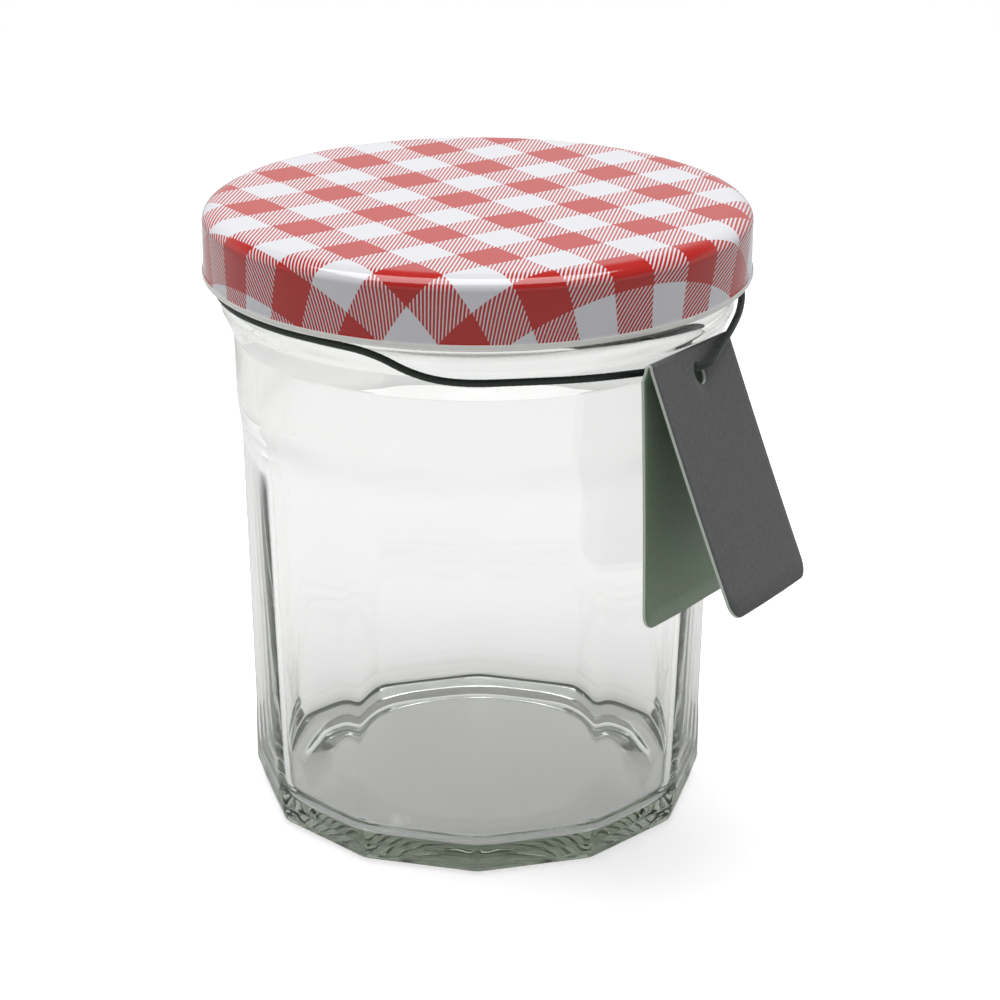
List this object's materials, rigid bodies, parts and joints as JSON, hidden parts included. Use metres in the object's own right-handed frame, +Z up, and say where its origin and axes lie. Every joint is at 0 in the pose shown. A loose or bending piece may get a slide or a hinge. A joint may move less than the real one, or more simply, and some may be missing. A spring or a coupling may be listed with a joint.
{
  "type": "preserving jar",
  "caption": "Faceted clear glass preserving jar with a shallow twist-off lid and a folded card tag hung round its neck on a thin elastic cord.",
  "frame": {"origin": "centre of the base, on the surface the jar stands on", "axes": "+Z up along the jar's axis, -Y towards the front (a facet edge), +X to the right; the tag hangs at the right of the front"},
  "size_m": [0.0915, 0.0929, 0.0967],
  "materials": {
    "glass": "clear, smooth",
    "lid": "red and white check print under gloss varnish, cream edge",
    "cord": "braided elastic, matt",
    "card": "matt charcoal paper card, green inside"
  },
  "bodies": {
    "root": {"jar": "glass", "lid": "lid", "cord": "cord", "knot": "cord", "tag": "card"}
  },
  "joints": []
}
